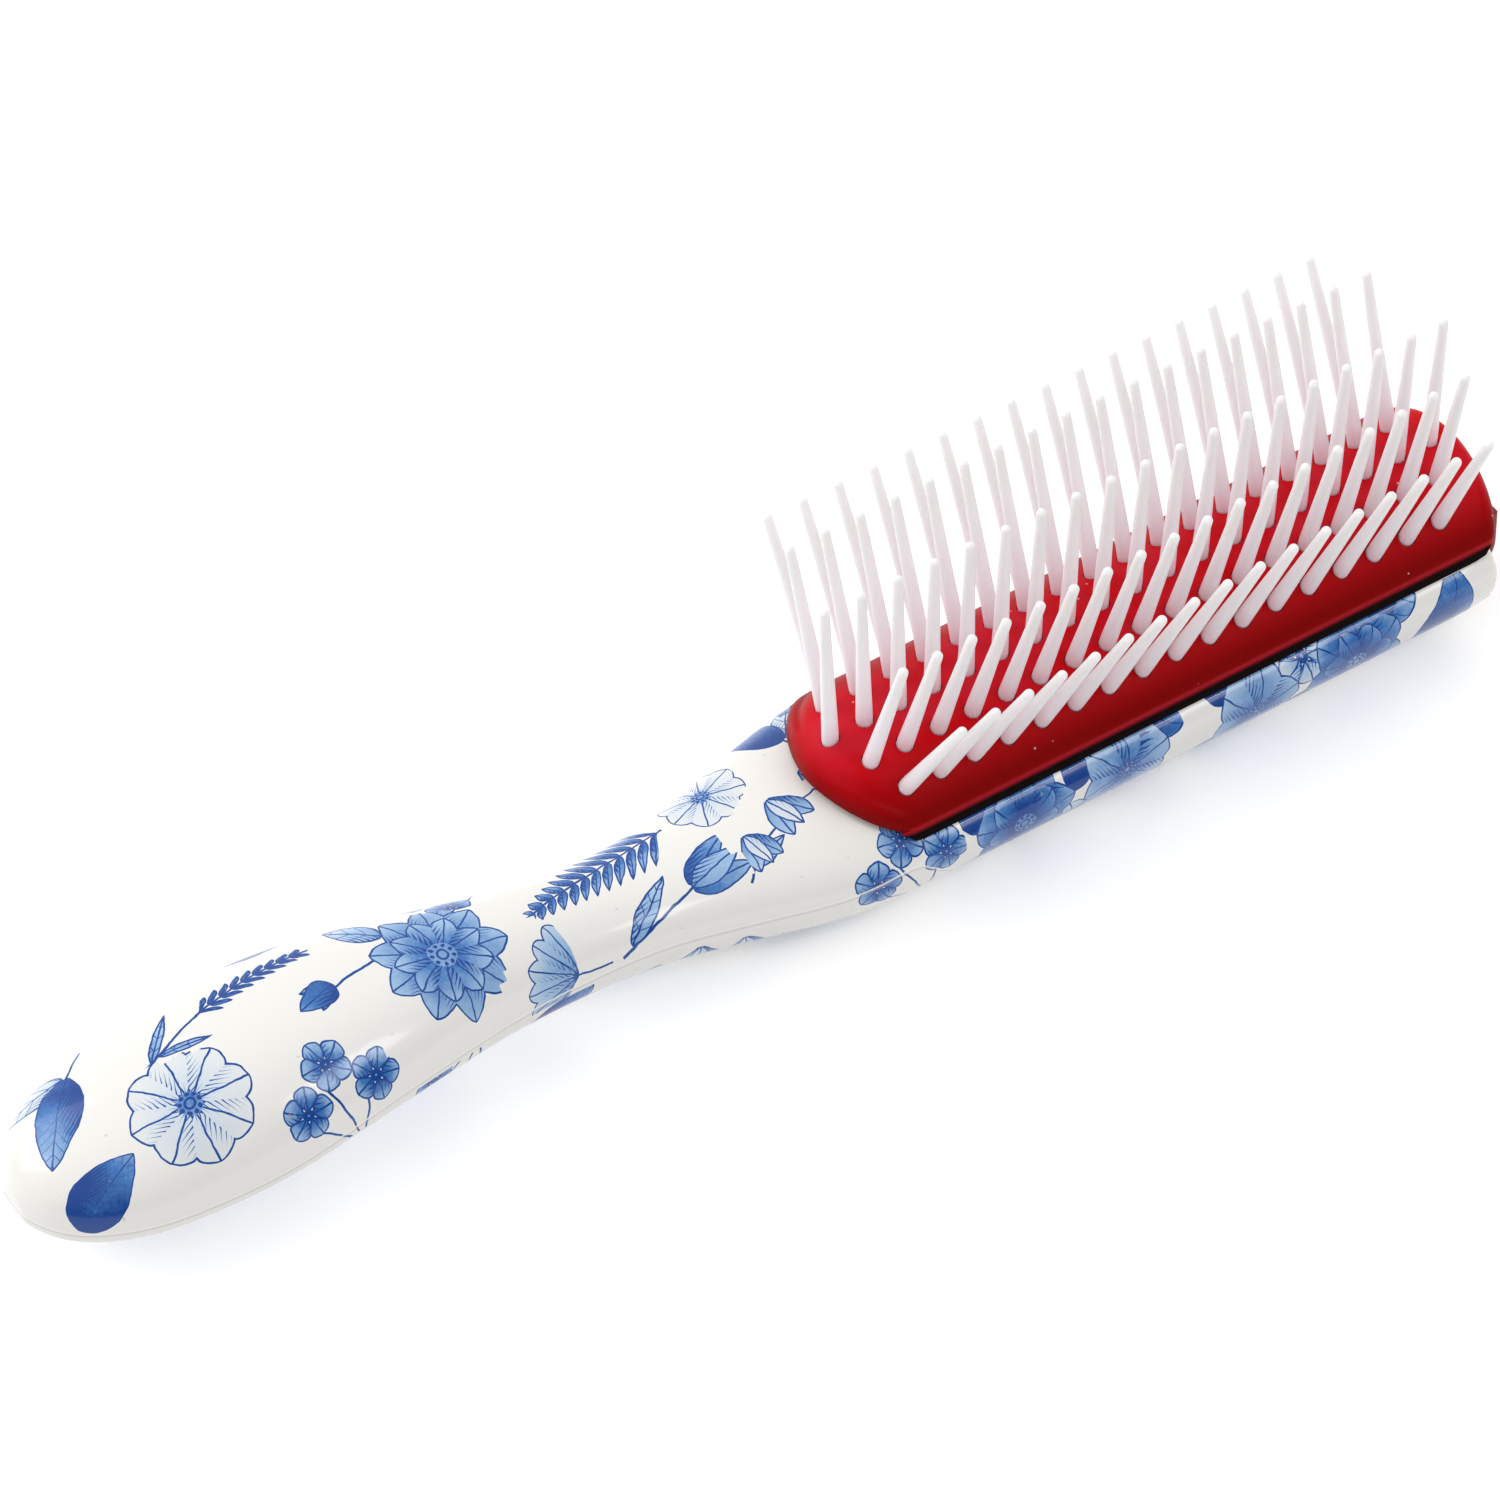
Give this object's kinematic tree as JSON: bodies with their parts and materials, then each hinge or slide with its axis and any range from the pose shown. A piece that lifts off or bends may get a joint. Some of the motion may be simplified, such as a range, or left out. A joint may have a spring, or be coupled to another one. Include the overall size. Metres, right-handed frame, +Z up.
{
  "type": "defining styling brush",
  "caption": "Half-round styling brush: one-piece handle, crowned rubber pad that slides out at the toe, and rows of tapered pins on strips under the pad.",
  "frame": {"origin": "middle of the length and width, on the surface that the back of the head stands on", "axes": "+X along the brush from the butt to the toe, +Y across it, +Z up the centre row of pins"},
  "size_m": [0.2015, 0.039, 0.0436],
  "materials": {
    "handle": "glossy off-white with a blue floral print",
    "pad": "satin deep red rubber",
    "pins": "milky translucent nylon"
  },
  "bodies": {
    "handle": {"handle": "handle"},
    "pad": {"rubber_pad": "pad", "pin_strip_1": "pins", "pin_strip_2": "pins", "pin_strip_3": "pins", "pin_strip_4": "pins", "pin_strip_5": "pins"}
  },
  "joints": [
    {"name": "pad_slide", "type": "slide", "parent": "handle", "child": "pad", "axis": [1, 0, 0], "range_m": [0, 0.092]}
  ]
}
